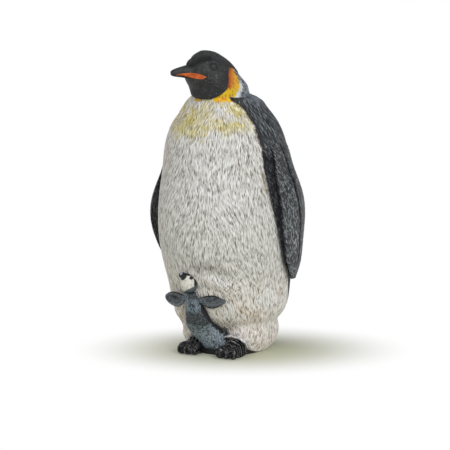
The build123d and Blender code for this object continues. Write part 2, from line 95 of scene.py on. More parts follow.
def node_mesh(*names):
    """Points in millimetres and triangles of some CAD nodes together."""
    points, faces, start = [], [], 0
    for name in names:
        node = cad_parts[name]
        node.data.calc_loop_triangles()
        turn = np.array(node.matrix_world)
        corners = rows_of(node.data.vertices, "co", 3)
        points.append((corners @ turn[:3, :3].T + turn[:3, 3]) / MM)
        faces.append(rows_of(node.data.loop_triangles, "vertices", 3, np.int32) + start)
        start += len(corners)
    return np.concatenate(points), np.concatenate(faces)


def linked(name, data):
    """A new object in the scene."""
    obj = bpy.data.objects.new(name, data)
    bpy.context.scene.collection.objects.link(obj)
    return obj


def piece(name, points, faces, paint, material, node=None, normals=None):
    """A smooth piece with paint values at its points, which may stand in for a CAD node."""
    mesh = bpy.data.meshes.new(name)
    mesh.from_pydata(points * MM, [], faces)
    for key, values in paint.items():
        layer = mesh.attributes.new(key, "FLOAT", "POINT")
        layer.data.foreach_set("value", np.ascontiguousarray(values, dtype=np.float32))
    mesh.shade_smooth()
    if normals is not None:
        mesh.normals_split_custom_set_from_vertices(normals)
    mesh.validate()
    mesh.materials.append(material)
    obj = linked(name, mesh)
    if node:
        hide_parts(node)
    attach(obj, "root")


def remeshed(name, voxel, rounds=4):
    """A CAD node as an even fine mesh: points, quads and normals, softened some rounds."""
    points, faces = node_mesh(name)
    mesh = bpy.data.meshes.new("coarse")
    mesh.from_pydata(points, [], faces.tolist())
    obj = linked("coarse", mesh)
    modifier = obj.modifiers.new("voxels", "REMESH")
    modifier.mode = "VOXEL"
    modifier.voxel_size = voxel
    fine = bpy.data.meshes.new_from_object(obj.evaluated_get(bpy.context.evaluated_depsgraph_get()))
    points = relaxed(rows_of(fine.vertices, "co", 3), rows_of(fine.edges, "vertices", 2, np.int32), rounds)
    quads = np.array([tuple(p.vertices) for p in fine.polygons])
    bpy.data.objects.remove(obj)
    bpy.data.meshes.remove(mesh)
    bpy.data.meshes.remove(fine)
    return points, quads.tolist(), point_normals(points, quads)


def summed(owners, rows, count):
    """Rows added up for each of a count of owners."""
    return np.stack([np.bincount(owners, column, count) for column in rows.T], axis=1)


def relaxed(points, edges, rounds):
    """Points drawn to the mean of their neighbours and back again, which keeps the volume."""
    first, second = edges.T
    count = len(points)
    neighbours = np.maximum(np.bincount(edges.ravel(), minlength=count), 1)[:, None]
    for share in RELAX_STEPS * rounds:
        total = summed(first, points[second], count) + summed(second, points[first], count)
        points = points + share * (total / neighbours - points)
    return points


def point_normals(points, quads):
    """Outward normals at the points of a quad mesh."""
    a, b, c, d = (points[corner] for corner in quads.T)
    face = np.cross(c - a, d - b)
    return unit(sum(summed(corner, face, len(points)) for corner in quads.T))


def edges_along(way, bands, middles, values):
    """Smallest and largest value in each band of points, read off at every point's way along."""
    inside = [values[bands == band] for band in range(len(middles))]
    return [np.interp(way, middles, [end(part) for part in inside]) for end in (np.min, np.max)]


# Feather relief

# Smallest and largest share of a stroke's usual length and width
STROKE_SPREAD = (0.65, 1.35)
# Strokes on the remeshed pieces: number, length, width and wander
HEAD_STROKES = 2600, 1.7, 0.5, 0.2
FLIPPER_STROKES = 6000, 2.6, 0.32, 0.12
FOOT_STROKES = 1500, 1.4, 0.4, 0.25
CHICK_BODY_STROKES = 5200, 1.3, 0.3, 0.3
CHICK_FLIPPER_STROKES = 1300, 1.6, 0.35, 0.3
CHICK_HEAD_STROKES = 900, 0.9, 0.3, 0.3


def stroke_height(along, across):
    """Height of a feather stroke: along runs 0 to 1 from root to tip, across is -1 to 1."""
    rise = np.clip(along / 0.7, 0, 1) * np.clip((1 - along) / 0.25, 0, 1)
    width = 0.45 + 0.55 * np.clip(along / 0.6, 0, 1)
    return rise * np.clip(1 - (across / width) ** 2, 0, 1)


def strokes_on_points(points, normals, direction, count, length, width, wander, chance=None):
    """Height of many overlapping strokes at the points of a mesh, laid along a direction."""
    direction = np.broadcast_to(np.asarray(direction, dtype=float), normals.shape)
    flow = unit(direction - (direction * normals).sum(1, keepdims=True) * normals)
    chance = np.ones(len(points)) if chance is None else chance
    tree = KDTree(len(points))
    for index, point in enumerate(points):
        tree.insert(point, index)
    tree.balance()
    height = np.zeros(len(points))
    for seed in rng.choice(len(points), count, p=chance / chance.sum()):
        size = length * rng.uniform(*STROKE_SPREAD)
        half = width * rng.uniform(*STROKE_SPREAD) / 2
        turn = rng.normal(0, wander)
        top = rng.uniform(0.6, 1)
        side = np.cross(normals[seed], flow[seed])
        ahead = math.cos(turn) * flow[seed] + math.sin(turn) * side
        side = np.cross(normals[seed], ahead)
        near = np.array([hit[1] for hit in tree.find_range(points[seed], 0.55 * size + half)])
        near = near[normals[near] @ normals[seed] > 0.3]
        offset = points[near] - points[seed]
        shape = top * stroke_height(offset @ ahead / size + 0.5, offset @ side / half)
        height[near] = np.maximum(height[near], shape)
    return height


# Body: one grid of heights and angles over both half shells, cut at their parting plane

COLUMNS = 1080
ROWS = 182
RAY_START = 60.0
BODY_BOTTOM = 0.25
BODY_TOP = 76.1
# A ray that ends nearer to the axis than this has gone through a socket
LEAST_RADIUS = 4
# Rounds of softening for the surface, and for the shade that the paint's relief is set against
SURFACE_BLUR = 9
SHADE_BLUR = 60
# The neck goes into the underside of the hood, this far inside its skin
HOOD_LAP = 0.22
# The nape spreads out over the shoulders down to this height
SKIRT_HEIGHT = 75.1

# Line between the pale front and the dark back: heights and degrees from the front
BACK_LINE = (2, 12, 20, 31, 44, 55, 62, 69, 72, 73.6, 75.5), (122, 114, 104, 92, 80, 67, 66, 63, 59, 53, 40)
# On the right side the line lies further back
RIGHT_SHIFT = (55, 68, 75.5), (8, 26, 40)
# Fold of the belly over the chick: degrees from the front and heights
FOLD_LINE = (-8, 5, 20, 36), (25.4, 24.2, 22.8, 20.9)
# Rounding of the ankles at the ground: height, depth, and the degrees and reach of the left foot
HEEL_HEIGHT = 3.6
HEEL_ROUND = 1.7
FOOT_ANGLE, FOOT_REACH = 74, 24
# Seam line in front of the left flipper: heights, degrees from the front, half width and soft ends
SEAM_HEIGHTS = (48, 55.3)
SEAM_ANGLES = (67.2, 62.9)
SEAM_HALF_WIDTH = 0.42
SEAM_END = 0.4
# Feather strokes: length, width, distance side by side and down the body, and number of loose ones
STROKE_LENGTH = 3.2
STROKE_WIDTH = 0.3
STROKE_PITCH = 0.34
STROKE_LAP = 1.7
CLUMP_COUNT = 1800
GROOVE_COUNT = 12000
# The feathers' roots lie this far below the solids' surface
FEATHER_DEPTH = 0.18

# Soft patches on the body: middle and reach, each in degrees from the front and millimetres up
NECK_SLIM = (-65, 70.5), (28, 2.6)
SHOULDER_RISE = (118, 73.8), (34, 1.4)
SHOULDER_SWELL = (118, 67.5), (34, 5)
ANKLE_FILL = (-68, 9.3), (30, 1.9)
ANKLE_HOLLOW = (-68, 5.2), (30, 1.8)
YELLOW_SPOT = (14, 66.8), (16, 1.8)
WHITE_SPOT = (12, 71.8), (12, 1.6)
FOLD_SHADE = (4, 27.2), (16, 2.4)
CHIN_SHADE = (12, 74.3), (16, 0.8)
STAIN = (46, 12.6), (24, 3)
# The same, with heights from the fold
FOLD_ROLL = (13, -1), (22, 1.5)
FOLD_HOLLOW = (13, 2.2), (22, 1.9)
# How far the feathers turn away from the chick, and where
CHICK_TURNS = (1, ((26, 23), (16, 4.5))), (0.65, ((42, 11), (20, 7))), (0.7, ((25, 4), (18, 4)))


def patch(degrees, height, place):
    """A soft round patch on the body, 1 in its middle."""
    (turn, level), (wide, high) = place
    return bump(degrees - turn, wide) * bump(height - level, high)


def outer_radius(tree, height, angle):
    """Distance from the body's axis to its outermost surface, or nan where there is none."""
    out = Vector((math.sin(angle), -math.cos(angle), 0))
    axis = Vector((0, -NECK_LEAN * height / NECK_HEIGHT, height))
    reach = tree.ray_cast(axis + RAY_START * out, -out, RAY_START)[3]
    return math.nan if reach is None else RAY_START - reach


def blurred(field, rounds):
    """A field on the grid, softened; its columns run round the body."""
    for _ in range(rounds):
        field = (np.roll(field, 1, 1) + 2 * field + np.roll(field, -1, 1)) / 4
        padded = np.pad(field, ((1, 1), (0, 0)), mode="edge")
        field = (padded[:-2] + 2 * field + padded[2:]) / 4
    return field


def from_bill(degrees):
    """Degrees away from the direction of the bill, for degrees from the front."""
    away = np.abs(degrees + math.degrees(HEAD_TURN))
    return np.minimum(away, 360 - away)


def body_surface():
    """Angles, heights and radii of the smooth outside of the body."""
    tree, head_tree = (
        BVHTree.FromPolygons(*(part.tolist() for part in node_mesh(*names)))
        for names in (("belly_shell", "back_shell"), ("head",))
    )
    angle = np.linspace(-math.pi / 2, 1.5 * math.pi, COLUMNS, endpoint=False)
    levels = np.linspace(BODY_BOTTOM, BODY_TOP, ROWS)
    radius = np.empty((ROWS, COLUMNS))
    for row, level in enumerate(levels):
        met = min(level, NECK_HEIGHT - 0.05)
        line = np.array([outer_radius(tree, met, a) for a in angle])
        good = np.flatnonzero(line > LEAST_RADIUS)
        radius[row] = np.interp(angle, angle[good], line[good], period=2 * math.pi)
    radius = blurred(radius, SURFACE_BLUR)
    height = np.broadcast_to(levels[:, None], radius.shape)
    degrees = np.degrees(angle)
    # The neck closes in on the underside of the hood
    hood = np.array([outer_radius(head_tree, BODY_TOP, a) for a in angle]) - HOOD_LAP
    nape = fade(62, 92, from_bill(degrees))
    close = fade(0, 1, (height - NECK_HEIGHT + 0.9 - 0.1 * nape) / (1 + 0.3 * nape))
    radius = np.minimum(radius, radius + close * (hood - radius))
    # The right side of the neck is a little slimmer than the left
    radius -= 0.9 * patch(degrees, height, NECK_SLIM)
    # The left shoulder rises to the nape
    radius += 0.7 * patch(degrees, height, SHOULDER_RISE) + 0.5 * patch(degrees, height, SHOULDER_SWELL)
    # The belly folds over the chick
    over = height - np.interp(degrees, *FOLD_LINE)
    radius += 0.35 * patch(degrees, over, FOLD_ROLL) - 0.75 * patch(degrees, over, FOLD_HOLLOW)
    # The ankles are rounded in at the ground, less so beside the left foot
    low = np.clip(1 - height / HEEL_HEIGHT, 0, 1)
    heel = HEEL_ROUND * (1 - 0.55 * bump(degrees - FOOT_ANGLE, FOOT_REACH))
    radius -= heel * (1 - np.sqrt(1 - low**2))
    # On the right the belly runs down to the ankle in a straighter line
    radius += 1.4 * patch(degrees, height, ANKLE_FILL) - 0.75 * patch(degrees, height, ANKLE_HOLLOW)
    return angle, height, radius


def grid_normals(points):
    """Outward normals of the grid."""
    round_body = np.roll(points, -1, 1) - np.roll(points, 1, 1)
    return unit(np.cross(round_body, np.gradient(points, axis=0)))


def grid_steps(height, radius):
    """Distances along the surface between neighbouring rows and columns of the grid."""
    rise = height[1, 0] - height[0, 0]
    # A slope counts for up to twice its height
    slope = np.minimum(np.sqrt(1 + (np.gradient(radius, axis=0) / rise) ** 2), 2)
    inward = (np.roll(radius, -1, 1) - np.roll(radius, 1, 1)) / 2
    return rise * slope, np.hypot(radius * 2 * math.pi / COLUMNS, inward)


def loose_seeds(per_row, per_column, count):
    """Places for strokes anywhere on the grid, as rows and columns."""
    area = (per_row * per_column).ravel()
    seeds = rng.choice(area.size, count, p=area / area.sum())
    return np.stack(np.divmod(seeds, COLUMNS), axis=1)


def combed_seeds(per_row, radius):
    """Places for strokes side by side in rings down the grid, as rows and columns, a little uneven."""
    path = np.cumsum(per_row.mean(1))
    seeds = []
    for way in np.arange(0, path[-1], STROKE_LAP):
        row = np.interp(way, path, np.arange(ROWS))
        count = int(2 * math.pi * radius[int(row)].mean() / STROKE_PITCH)
        rows = row + rng.uniform(-0.5, 0.5, count) * STROKE_LAP / per_row[int(row)].mean()
        columns = (np.arange(count) + rng.uniform(-0.4, 0.4, count)) * COLUMNS / count
        seeds.append(np.stack([np.clip(rows, 0, ROWS - 1), columns % COLUMNS], axis=1))
    return np.concatenate(seeds).astype(int)


def strokes_on_grid(per_row, per_column, turn, seeds, length, width, wander):
    """Height of many overlapping downward strokes on the body's grid."""
    field = np.zeros_like(turn)
    for row, column in seeds:
        size = length[row, column] * rng.uniform(*STROKE_SPREAD)
        half = width * rng.uniform(*STROKE_SPREAD) / 2
        tilt = turn[row, column] + rng.normal(0, wander)
        top = rng.uniform(0.55, 1)
        high, wide = per_row[row, column], per_column[row, column]
        rows_out = math.ceil((0.5 * size + half) / high)
        columns_out = math.ceil((half + 0.5 * size * abs(math.sin(tilt))) / wide) + 1
        rows = np.arange(max(0, row - rows_out), min(ROWS, row + rows_out + 1))
        columns = np.arange(-columns_out, columns_out + 1)
        down = (row - rows)[:, None] * high
        aside = columns[None, :] * wide
        along = (down * math.cos(tilt) + aside * math.sin(tilt)) / size + 0.5
        across = (aside * math.cos(tilt) - down * math.sin(tilt)) / half
        window = np.ix_(rows, (column + columns) % COLUMNS)
        field[window] = np.maximum(field[window], top * stroke_height(along, across))
    return field


def feather_turn(degrees, height, dark):
    """Lean of the feathers from straight down: they spread from the middle and wander a little."""
    spread = 0.4 * np.sin(np.radians(degrees)) * bump(height - 40, 18)
    wander = 0.16 * np.sin(height / 7 + degrees / 13) + 0.12 * np.sin(height / 4.1 - degrees / 9)
    shoulder = 0.42 * np.sign(degrees) * bump(height - 58, 13) * bump(np.abs(degrees) - 90, 45)
    from_chick = sum(turn * patch(degrees, height, place) for turn, place in CHICK_TURNS)
    curl = np.sin(1.9 * height + degrees / 4) * np.cos(degrees / 3.1 - 0.8 * height)
    wander += 0.5 * fade(16, 8, height) * curl
    return (1 - 0.6 * dark) * (spread + wander + from_chick) + dark * shoulder


def body_relief(degrees, height, radius, dark):
    """Feather height in millimetres below the CAD surface, and the paint's relief from 0 to 1, with painted
    light on the lower belly and a painted sheen on the dark shoulders.
    """
    steps = grid_steps(height, radius)
    grid = *steps, feather_turn(degrees, height, dark)
    length = (STROKE_LENGTH - 0.7 * fade(62, 70, height)) * (1 + 0.6 * dark)
    clumps = loose_seeds(*steps, CLUMP_COUNT)
    clumps = strokes_on_grid(*grid, clumps, 1.8 * length, 5 * STROKE_WIDTH, 0.15)
    shingles = strokes_on_grid(*grid, combed_seeds(steps[0], radius), length, STROKE_WIDTH, 0.14)
    grooves = loose_seeds(*steps, GROOVE_COUNT)
    grooves = strokes_on_grid(*grid, grooves, 0.5 * length, 0.75 * STROKE_WIDTH, 0.18)
    relief = 0.04 * clumps + 0.13 * shingles - 0.13 * grooves
    depth = (1 - 0.4 * dark) * (relief - FEATHER_DEPTH)
    lower = (1 - dark) * fade(32, 16, height)
    fine = 0.15 * clumps + (0.62 + 0.2 * dark + 0.2 * lower) * shingles
    shade = 0.565 + fine - blurred(fine, SHADE_BLUR) - (0.72 + 0.25 * lower) * grooves
    # Painted light: the lower belly, which faces down and gets less light, is lightened, and a painted
    # sheen lightens the dark back up at the shoulders
    shade += 0.14 * lower + 0.08 * dark * fade(48, 62, height)
    return depth, np.clip(shade, 0, 1)


def body_paint(degrees, height, radius):
    """Paint values over the body: how dark, yellow, orange, warm or shaded it is."""
    line = np.interp(height, *BACK_LINE) + np.interp(height, *RIGHT_SHIFT) * (degrees < 0)
    away = from_bill(degrees)
    lowest = 64.8 + 2.4 * fade(5, 45, degrees)
    wash = 0.7 + 0.5 * bump(degrees + 38, 24) + 0.25 * bump(degrees - 52, 16)
    wash = wash * fade(lowest - 3, lowest + 2, height)
    wash += 0.3 * patch(degrees, height, YELLOW_SPOT) - 0.12 * patch(degrees, height, WHITE_SPOT)
    band = fade(33, 40, away) * (1 - fade(72, 80, away))
    collar = band * fade(73.6, 74.9, height) + bump(away, 16) * fade(73.4, 74.5, height)
    warm = 0.75 * (1 - fade(8, 38, height)) + 0.55 * fade(30, 60, -degrees)
    shade = patch(degrees, height, FOLD_SHADE) + 0.7 * patch(degrees, height, CHIN_SHADE)
    from_seam = np.radians(degrees - np.interp(height, SEAM_HEIGHTS, SEAM_ANGLES)) * radius
    above_low, above_high = (fade(end - SEAM_END, end + SEAM_END, height) for end in SEAM_HEIGHTS)
    return {
        # Millimetres behind the line between the pale front and the dark back
        "dark": np.radians(np.abs(degrees) - line) * radius,
        "wash": np.clip(wash, 0, 1),
        "collar": np.clip(collar, 0, 1),
        "warm": np.clip(warm, 0, 1),
        "shade": np.clip(shade, 0, 1),
        "stain": 0.8 * patch(degrees, height, STAIN),
        "seam": bump(from_seam, SEAM_HALF_WIDTH) * above_low * (1 - above_high),
        "slate": fade(72.6, 75.2, height) * fade(95, 125, away),
    }


def quads_between(left, right):
    """Quads between runs of points that go up side by side."""
    return np.stack([left[:-1], right[:-1], right[1:], left[1:]], axis=-1).reshape(-1, 4).tolist()


def half_body(name, node, points, normals, paint, columns, material):
    """One half shell: a run of the grid's columns, closed at the parting plane, top and bottom."""
    index = np.arange(ROWS * len(columns)).reshape(ROWS, -1)
    faces = quads_between(index[:, :-1], index[:, 1:]) + quads_between(index[:, -1], index[:, 0])
    faces += [index[-1].tolist(), index[0, ::-1].tolist()]
    values = {key: field[:, columns].ravel() for key, field in paint.items()}
    points, normals = (field[:, columns].reshape(-1, 3) for field in (points, normals))
    piece(name, points, faces, values, material, node, normals)


def body(material):
    """Both half shells with their feather relief and paint; gives the shoulders' rim."""
    angle, height, radius = body_surface()
    y = -NECK_LEAN * height / NECK_HEIGHT - radius * np.cos(angle)
    smooth = np.stack([radius * np.sin(angle), y, height], axis=-1)
    degrees = np.degrees(np.where(angle > math.pi, angle - 2 * math.pi, angle))
    degrees = np.broadcast_to(degrees, height.shape)
    paint = body_paint(degrees, height, radius)
    depth, paint["relief"] = body_relief(degrees, height, radius, fade(0, 2, paint["dark"]))
    points = smooth + depth[..., None] * grid_normals(smooth)
    normals = grid_normals(points)
    half = COLUMNS // 2
    front, rear = np.arange(half + 1), np.arange(half, COLUMNS + 1) % COLUMNS
    half_body("belly_plumage", "belly_shell", points, normals, paint, front, material)
    half_body("back_plumage", "back_shell", points, normals, paint, rear, material)
    return angle, radius[np.searchsorted(height[:, 0], SKIRT_HEIGHT)]


# Materials


class Paint:
    """Builds one painted material from noise and the paint values on a mesh."""

    def __init__(self, name):
        self.material = bpy.data.materials.new(name)
        self.material.use_nodes = True
        self.tree = self.material.node_tree
        self.shader = self.tree.nodes["Principled BSDF"]
        self.place = self.node("TexCoord").outputs["Object"]

    def put(self, socket, value):
        """Fills a socket from a paint value's name, another socket, a colour or a number."""
        if isinstance(value, str):
            value = self.node("Attribute", attribute_name=value).outputs["Fac"]
        if isinstance(value, bpy.types.NodeSocket):
            self.tree.links.new(value, socket)
        elif isinstance(value, tuple):
            socket.default_value = (*value, 1)
        else:
            socket.default_value = value

    def node(self, kind, *values, **settings):
        """A new shader node with its settings made and its first sockets filled."""
        node = self.tree.nodes.new("ShaderNode" + kind)
        for key, setting in settings.items():
            setattr(node, key, setting)
        for socket, value in zip(node.inputs, values):
            self.put(socket, value)
        return node

    def noise(self, size, detail=2.0):
        """Noise from 0 to 1 with grains of about this size in millimetres."""
        node = self.node("TexNoise", self.place)
        self.put(node.inputs["Scale"], 1 / (size * MM))
        self.put(node.inputs["Detail"], detail)
        return node.outputs["Fac"]

    def sum(self, first, second, factor=1.0):
        """First value plus second value times a factor."""
        return self.node("Math", second, factor, first, operation="MULTIPLY_ADD").outputs[0]

    def blend(self, *parts):
        """Sum of values, each with its weight."""
        total = 0.0
        for value, weight in parts:
            total = self.sum(total, value, weight)
        return total

    def product(self, first, second):
        """First value times second value."""
        return self.node("Math", first, second, operation="MULTIPLY").outputs[0]

    def step(self, value, low, high, start=0.0, end=1.0):
        """A soft step from its start value at low to its end value at high."""
        node = self.node("MapRange", value, low, high, start, end, interpolation_type="SMOOTHSTEP")
        return node.outputs["Result"]

    def ramp(self, value, *stops):
        """A colour from a run of (place, colour) stops."""
        node = self.node("ValToRGB", value)
        elements = node.color_ramp.elements
        while len(elements) < len(stops):
            elements.new(0.5)
        for element, (place, colour) in zip(elements, stops):
            element.position = place
            element.color = (*colour, 1)
        return node.outputs["Color"]

    def mix(self, colour, *coats, blend="MIX"):
        """A colour under some coats of (amount, colour), each laid over the last."""
        for amount, coat in coats:
            node = self.node("Mix", amount, data_type="RGBA", blend_type=blend)
            self.put(node.inputs[6], colour)
            self.put(node.inputs[7], coat)
            colour = node.outputs[2]
        return colour

    def done(self, colour, roughness, specular=0.35):
        """Sets the finish and gives the material."""
        self.put(self.shader.inputs["Base Color"], colour)
        self.put(self.shader.inputs["Roughness"], roughness)
        self.put(self.shader.inputs["Specular IOR Level"], specular)
        return self.material


def dark_plumage(paint, relief):
    """Charcoal feathers with grey dry brushing."""
    return paint.ramp(
        paint.blend((relief, 0.7), (paint.noise(0.35), 0.12), (paint.noise(4), 0.18)),
        (0.3, (0.007, 0.008, 0.01)),
        (0.5, (0.03, 0.034, 0.04)),
        (0.64, (0.085, 0.094, 0.107)),
        (0.84, (0.3, 0.325, 0.36)),
    )


def plumage():
    """Body paint: silver-white belly, yellow chest, orange collar and dark back."""
    paint = Paint("plumage")
    pale = paint.ramp(
        paint.blend(("relief", 0.8), (paint.noise(0.4), 0.06), (paint.noise(5), 0.14)),
        (0.14, (0.13, 0.11, 0.09)),
        (0.3, (0.34, 0.32, 0.295)),
        (0.47, (0.56, 0.55, 0.545)),
        (0.76, (0.9, 0.9, 0.92)),
    )
    patchy = paint.blend((paint.noise(1.5), 0.35), (paint.noise(6), 0.65), ("relief", -0.12))
    pale = paint.mix(
        pale,
        (paint.product("warm", paint.step(paint.noise(7), 0.28, 0.62)), (0.985, 0.9, 0.84)),
        (paint.product("shade", 0.45), (0.46, 0.47, 0.49)),
        (paint.product("stain", paint.step(paint.noise(2.5), 0.4, 0.62)), (0.96, 0.86, 0.75)),
        (paint.product("wash", paint.step(patchy, 0.3, 0.56)), (0.9, 0.79, 0.3)),
        blend="MULTIPLY",
    )
    orange = paint.ramp(
        paint.noise(1.2),
        (0.3, (0.66, 0.24, 0.015)),
        (0.48, (0.82, 0.5, 0.02)),
        (0.7, (0.85, 0.62, 0.06)),
    )
    # The line to the dark back is ragged, brown before it and black behind it
    wander = paint.blend((paint.noise(0.9), 1.2), (paint.noise(3), 1.6), ("relief", 0.5))
    edge = paint.sum(paint.sum("dark", wander), -0.6)
    pale = paint.mix(
        pale,
        (paint.step(paint.sum("collar", paint.noise(0.7), 1.1), 1.15, 1.45), orange),
        (paint.product("seam", paint.step(paint.noise(1), 0.3, 0.45)), (0.22, 0.17, 0.09)),
        (paint.step(edge, 0.6, 0.95, 0, 0.8), (0.16, 0.13, 0.1)),
    )
    dark = paint.mix(
        dark_plumage(paint, "relief"),
        (paint.product("slate", paint.step("relief", 0.2, 0.8)), (0.2, 0.23, 0.27)),
        (paint.step(edge, 3.2, 1.8, 0, 0.75), (0.009, 0.01, 0.011)),
    )
    return paint.done(paint.mix(pale, (paint.step(edge, 0.9, 1.3), dark)), 0.62)


# Head

HEAD_VOXEL = 0.15
# Rear edge of the hood on the cheek: heights over the head's base and degrees from the bill
HOOD_EDGE = (0, 0.7, 1.7, 2.8, 5, 6.7, 8.2), (36, 50, 60, 66, 69, 69, 74)
# Lower edge of the hood over the ear patch and the nape: degrees from the bill and heights
HOOD_NAPE = (70, 94, 110, 140, 180), (8.6, 8, 7.2, 6.4, 6.2)
# Rear edge of the ear patch: heights and degrees from the bill
EAR_EDGE = (0, 1.4, 2.5, 3.6, 4.9, 6.5, 7.8), (80, 92, 96, 100, 102, 102, 92)
# White streaks behind the ear patch: how far back they reach and the heights they fade between
WHITE_WIDTH = 3.2
WHITE_HEIGHTS = (5.5, 2.5)
# Stripe along the bill: way ahead of the head's axis, lower edge and upper edge
STRIPE_REACH = (9.1, 9.9, 11, 12.3, 14.6, 16.8)
STRIPE_LOW = (6, 5.45, 5.45, 5.85, 6.5, 6.65)
STRIPE_HIGH = (6.05, 6.65, 7.05, 7.2, 7.15, 6.75)
EYE_PLACE = np.array((5.05, -6.63, 8.84))
EYE_RADIUS = 0.95
EYE_GROOVE = 0.2
# Furrow of the brow, from over the bill to above the eye
BROW_START = np.array((1, -11.5, 9.7))
BROW_END = np.array((3.8, -7.4, 11.4))
BROW_DEPTH = 0.5
# The feathered patches lie this far below the hood
PATCH_DEPTH = 0.26
# Lip of the hood under the chin, and the tuck on its right: degrees from the bill, reach and size
LIP_ANGLE, LIP_REACH = 14, 34
LIP_OUT, LIP_DOWN = 0.2, 0.55
TUCK_ANGLE, TUCK_REACH, TUCK_DEPTH = -42, 26, 1.7
# Points nearer to the head's axis than this belong to its spigot
SPIGOT_RADIUS = 5
# The foot of the neck is measured in sectors of these degrees, and ends inside the shoulders' rim
NAPE_SECTOR = 5
NAPE_INSET = 0.35


def head_frame(points, centre=HEAD_BASE, turn=HEAD_TURN):
    """Points in a head's own frame: its left, its back and its height."""
    x, y, z = (points - centre).T
    return x * math.cos(turn) - y * math.sin(turn), x * math.sin(turn) + y * math.cos(turn), z


def head_paint(points):
    """Paint values over the head, as distances in millimetres inside each patch."""
    left, back, height = head_frame(points)
    degrees = np.degrees(np.arctan2(np.abs(left), -back))
    reach = np.hypot(left, back)
    behind = np.radians(degrees - np.interp(height, *HOOD_EDGE)) * reach
    under = np.interp(degrees, *HOOD_NAPE) - height
    ear = np.radians(np.interp(height, *EAR_EDGE) - degrees) * reach
    low, high = (np.interp(-back, STRIPE_REACH, edge) for edge in (STRIPE_LOW, STRIPE_HIGH))
    ends = np.minimum(-back - STRIPE_REACH[0], STRIPE_REACH[-1] + back)
    stripe = np.minimum(np.minimum(height - low, high - height), ends)
    side = np.stack([np.abs(left), back, height], axis=1)
    return {
        "bare": np.minimum(behind, under),
        "ear": ear,
        "front": behind,
        "height": height,
        "stripe": np.where(np.abs(left) > 0.35, stripe, -1),
        "white": fade(WHITE_WIDTH, 0, -ear) * fade(*WHITE_HEIGHTS, height),
        "eye": np.linalg.norm(side - EYE_PLACE, axis=1),
        "brow": from_segment(side, BROW_START, BROW_END),
    }


def from_segment(points, start, end):
    """Distance of points from a straight run between two places."""
    run = end - start
    way = np.clip((points - start) @ run / (run @ run), 0, 1)
    return np.linalg.norm(points - start - way[:, None] * run, axis=1)


def chin_lip(points):
    """Shift of the hood's edge under the chin: down and out over the throat, tucked in on its right."""
    left, back, height = head_frame(points)
    reach = np.hypot(left, back)
    degrees = np.degrees(np.arctan2(left, -back))
    skin = reach > SPIGOT_RADIUS
    lip = bump(degrees - LIP_ANGLE, LIP_REACH) * fade(1.8, 0.2, height) * skin
    tuck = TUCK_DEPTH * bump(degrees - TUCK_ANGLE, TUCK_REACH) * fade(2.2, -0.4, height) * skin
    out = (points - HEAD_BASE) * (1, 1, 0) / reach[:, None]
    return lip[:, None] * (LIP_OUT * out - np.array((0, 0, LIP_DOWN))) - tuck[:, None] * out


def nape_radius(points):
    """Radius of the foot of the neck in the direction of each point."""
    x, y, z = (points - HEAD_BASE).T
    round_neck = np.degrees(np.arctan2(x, -y))
    sector = np.floor(round_neck / NAPE_SECTOR).astype(int)
    foot = np.abs(z) < 0.5
    reach = np.zeros(360 // NAPE_SECTOR)
    np.maximum.at(reach, sector[foot], np.hypot(x, y)[foot])
    middles = (np.arange(len(reach)) + 0.5) * NAPE_SECTOR
    return np.interp(round_neck, middles, reach, period=360)


def nape_spread(points, angle, rim):
    """Points with the foot of the nape spread out to meet the shoulders."""
    x, y, z = (points - HEAD_BASE).T
    round_neck = np.arctan2(x, -y)
    behind = fade(66, 94, from_bill(np.degrees(round_neck)))
    low = fade(1.8, 0, z) ** 3 * fade(-1, -0.2, z) * behind
    wide = np.interp(round_neck, angle, rim - NAPE_INSET, period=2 * math.pi) / nape_radius(points)
    spread = points.copy()
    spread[:, :2] += (low * (wide - 1))[:, None] * (points - HEAD_BASE)[:, :2]
    spread[:, 2] -= low * (HEAD_BASE[2] - SKIRT_HEIGHT)
    return spread


def head(angle, rim):
    """Hood, bill, eyes, ear patches and nape, which spreads to the shoulders' rim."""
    points, quads, normals = remeshed("head", HEAD_VOXEL)
    paint = head_paint(points)
    bare = fade(-0.15, 0.25, paint["bare"])
    strokes = strokes_on_points(points, normals, (0, 0.35, -1), *HEAD_STROKES, 0.04 + bare)
    depth = -PATCH_DEPTH * bare + 0.1 * bare * strokes + 0.02 * (1 - bare) * strokes
    depth -= BROW_DEPTH * bump(paint["brow"], 1)
    depth -= EYE_GROOVE * bump(paint["eye"] - EYE_RADIUS - 0.3, 0.24)
    depth += 0.06 * fade(-0.05, 0.1, paint["stripe"]) - 0.1 * bump(paint["stripe"] + 0.12, 0.12)
    points = nape_spread(points + depth[:, None] * normals + chin_lip(points), angle, rim)
    paint["relief"] = np.clip(strokes, 0, 1)
    piece("hood", points, quads, paint, hood_paint(), "head")


